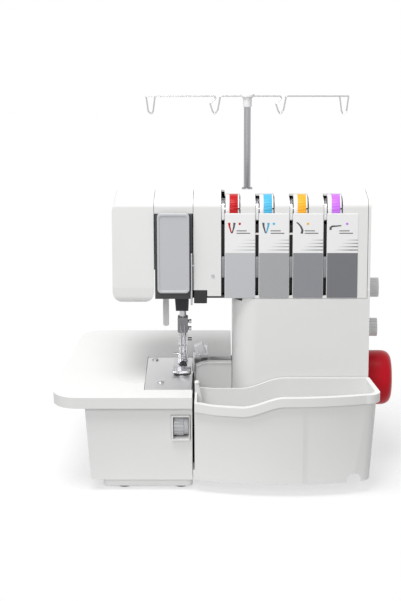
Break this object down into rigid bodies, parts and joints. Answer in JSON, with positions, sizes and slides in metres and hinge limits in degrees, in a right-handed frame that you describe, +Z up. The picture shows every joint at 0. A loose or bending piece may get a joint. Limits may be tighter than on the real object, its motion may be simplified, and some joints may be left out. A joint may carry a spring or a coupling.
{
  "type": "overlock sewing machine",
  "caption": "Free-standing domestic overlock machine with tension dials, extension table, trim bin, thread stand, loopers, knives and a side handwheel.",
  "frame": {"origin": "on the floor, under the middle of the overall width and depth", "axes": "+X to the operator's right, +Y away from the operator, +Z up"},
  "size_m": [0.366, 0.302, 0.3837],
  "materials": {
    "white_plastic": "satin moulded ABS",
    "grey_plastic": "satin moulded ABS",
    "dark_plastic": "matt moulded ABS",
    "knob_grey": "satin moulded ABS, ribbed",
    "pin_plastic": "moulded polypropylene",
    "red_plastic": "glossy moulded ABS",
    "blue_plastic": "glossy moulded ABS",
    "amber_plastic": "glossy moulded ABS",
    "purple_plastic": "glossy moulded ABS",
    "rubber": "matt",
    "belt_rubber": "matt, toothed belt",
    "circuit_green": "glass-filled board",
    "cast_frame": "die cast, unpainted",
    "brass": "sintered bush",
    "silver_plate": "brushed, hard plated",
    "steel": "polished, plated",
    "pole_metal": "anodised drawn tube"
  },
  "bodies": {
    "machine": {"base_pan": "white_plastic", "feet": "rubber", "bed_cover": "white_plastic", "dial_bezel": "white_plastic", "head_end_cover": "white_plastic", "head_top_cover": "white_plastic", "head_front_panel": "white_plastic", "face_plate": "grey_plastic", "head_inner_frame": "dark_plastic", "lamp_housing": "dark_plastic", "tension_cover": "white_plastic", "channel_liners": "dark_plastic", "rear_cover": "white_plastic", "right_side_cover": "white_plastic", "frame_casting": "cast_frame", "shaft_bushes": "brass", "needle_plate": "silver_plate", "housing_screws": "steel", "lower_knife": "steel", "presser_spring": "steel", "tension_units": "steel", "motor": "cast_frame", "drive_belt": "belt_rubber", "circuit_board": "circuit_green", "inlet_socket": "dark_plastic", "spool_stand": "white_plastic", "spool_pins": "pin_plastic", "spool_cones": "pin_plastic", "pole_outer": "pole_metal", "looper_guard": "grey_plastic", "trim_chute": "white_plastic"},
    "trim_bin": {"trim_bin": "white_plastic"},
    "looper_cover": {"looper_cover": "white_plastic"},
    "extension_table": {"extension_table": "white_plastic"},
    "main_shaft": {"main_shaft": "steel", "handwheel": "red_plastic", "shaft_pulley": "dark_plastic"},
    "motor_rotor": {"motor_pulley": "dark_plastic"},
    "needle_bar": {"needle_bar": "steel", "needle_clamp": "steel", "needles": "steel"},
    "needle_lever": {"needle_drive_lever": "steel"},
    "presser_bar": {"presser_bar": "steel", "presser_foot": "steel"},
    "presser_lifter": {"presser_lifter": "white_plastic"},
    "main_feed": {"main_feed_dog": "steel"},
    "differential_feed": {"differential_feed_dog": "steel"},
    "upper_looper": {"upper_looper": "steel"},
    "lower_looper": {"lower_looper": "steel"},
    "upper_knife": {"upper_knife": "steel"},
    "dial_left_needle": {"tension_dial_left_needle": "red_plastic"},
    "dial_right_needle": {"tension_dial_right_needle": "blue_plastic"},
    "dial_upper_looper": {"tension_dial_upper_looper": "amber_plastic"},
    "dial_lower_looper": {"tension_dial_lower_looper": "purple_plastic"},
    "stitch_length": {"stitch_length_knob": "knob_grey"},
    "differential": {"differential_knob": "knob_grey"},
    "cutting_width": {"cutting_width_dial": "grey_plastic"},
    "pole": {"pole_inner": "pole_metal"},
    "thread_guide": {"guide_bar": "steel"},
    "switch": {"power_switch": "dark_plastic"}
  },
  "joints": [
    {"name": "handwheel_turn", "type": "hinge", "parent": "machine", "child": "main_shaft", "pos_m": [0.1, -0.015, 0.0918], "axis": [1, 0, 0], "continuous": true},
    {"name": "motor_turn", "type": "hinge", "parent": "machine", "child": "motor_rotor", "pos_m": [0.135, 0.022, 0.044], "axis": [1, 0, 0], "continuous": true},
    {"name": "needle_bar_slide", "type": "slide", "parent": "machine", "child": "needle_bar", "axis": [0, 0, 1], "range_m": [-0.026, 0]},
    {"name": "needle_lever_swing", "type": "hinge", "parent": "machine", "child": "needle_lever", "pos_m": [0.007, -0.002, 0.254], "axis": [1, 0, 0], "range_deg": [0, 56]},
    {"name": "upper_looper_swing", "type": "hinge", "parent": "machine", "child": "upper_looper", "pos_m": [-0.016, -0.031, 0.06], "axis": [0, 1, 0], "range_deg": [0, 18.5]},
    {"name": "lower_looper_swing", "type": "hinge", "parent": "machine", "child": "lower_looper", "pos_m": [-0.024, -0.025, 0.04], "axis": [0, 1, 0], "range_deg": [-12.5, 0]},
    {"name": "upper_knife_slide", "type": "slide", "parent": "machine", "child": "upper_knife", "axis": [0, 0, 1], "range_m": [-0.0066, 0]},
    {"name": "main_feed_slide", "type": "slide", "parent": "machine", "child": "main_feed", "axis": [0, 1, 0], "range_m": [-0.003, 0]},
    {"name": "differential_feed_slide", "type": "slide", "parent": "machine", "child": "differential_feed", "axis": [0, 1, 0], "range_m": [-0.003, 0]},
    {"name": "presser_lifter_swing", "type": "hinge", "parent": "machine", "child": "presser_lifter", "pos_m": [-0.066, 0.02, 0.214], "axis": [1, 0, 0], "range_deg": [0, 45]},
    {"name": "presser_bar_slide", "type": "slide", "parent": "machine", "child": "presser_bar", "axis": [0, 0, 1], "range_m": [0, 0.0055], "deforming": ["presser_spring"]},
    {"name": "dial_left_needle_turn", "type": "hinge", "parent": "machine", "child": "dial_left_needle", "pos_m": [0.007, -0.0558, 0.2918], "axis": [1, 0, 0], "range_deg": [-140, 140]},
    {"name": "dial_right_needle_turn", "type": "hinge", "parent": "machine", "child": "dial_right_needle", "pos_m": [0.0429, -0.0558, 0.2918], "axis": [1, 0, 0], "range_deg": [-140, 140]},
    {"name": "dial_upper_looper_turn", "type": "hinge", "parent": "machine", "child": "dial_upper_looper", "pos_m": [0.0788, -0.0558, 0.2918], "axis": [1, 0, 0], "range_deg": [-140, 140]},
    {"name": "dial_lower_looper_turn", "type": "hinge", "parent": "machine", "child": "dial_lower_looper", "pos_m": [0.1147, -0.0558, 0.2918], "axis": [1, 0, 0], "range_deg": [-140, 140]},
    {"name": "stitch_length_turn", "type": "hinge", "parent": "machine", "child": "stitch_length", "pos_m": [0.158, -0.015, 0.1952], "axis": [1, 0, 0], "range_deg": [-135, 135]},
    {"name": "differential_turn", "type": "hinge", "parent": "machine", "child": "differential", "pos_m": [0.158, -0.015, 0.1499], "axis": [1, 0, 0], "range_deg": [-135, 135]},
    {"name": "cutting_width_turn", "type": "hinge", "parent": "machine", "child": "cutting_width", "pos_m": [-0.048, -0.113, 0.0718], "axis": [1, 0, 0], "range_deg": [-120, 120]},
    {"name": "pole_slide", "type": "slide", "parent": "machine", "child": "pole", "axis": [0, 0, 1], "range_m": [-0.075, 0]},
    {"name": "thread_guide_turn", "type": "hinge", "parent": "pole", "child": "thread_guide", "pos_m": [0.0248, 0.13, 0.375], "axis": [0, 0, 1], "range_deg": [-40, 40]},
    {"name": "switch_rock", "type": "hinge", "parent": "machine", "child": "switch", "pos_m": [0.1505, 0.025, 0.051], "axis": [0, 1, 0], "range_deg": [0, 20]},
    {"name": "extension_table_slide", "type": "slide", "parent": "machine", "child": "extension_table", "axis": [-1, 0, 0], "range_m": [0, 0.12]},
    {"name": "trim_bin_slide", "type": "slide", "parent": "machine", "child": "trim_bin", "axis": [0, -1, 0], "range_m": [0, 0.2]},
    {"name": "looper_cover_hinge", "type": "hinge", "parent": "machine", "child": "looper_cover", "pos_m": [0.09, -0.075, 0.023], "axis": [1, 0, 0], "range_deg": [0, 75]}
  ],
  "couplings": [
    {"joint": "motor_turn", "follows": "handwheel_turn", "ratio": 2.75},
    {"joint": "needle_lever_swing", "follows": "needle_bar_slide", "rad_per_m": -37.189},
    {"joint": "upper_looper_swing", "follows": "needle_bar_slide", "rad_per_m": -12.083},
    {"joint": "lower_looper_swing", "follows": "needle_bar_slide", "rad_per_m": 8.0554},
    {"joint": "upper_knife_slide", "follows": "needle_bar_slide", "ratio": 0.25},
    {"joint": "main_feed_slide", "follows": "needle_bar_slide", "ratio": 0.11308},
    {"joint": "differential_feed_slide", "follows": "needle_bar_slide", "ratio": 0.11308},
    {"joint": "presser_lifter_swing", "follows": "presser_bar_slide", "rad_per_m": 142.48},
    {"joint": "looper_cover_hinge", "follows": "trim_bin_slide", "rad_per_m": 6.5363}
  ]
}
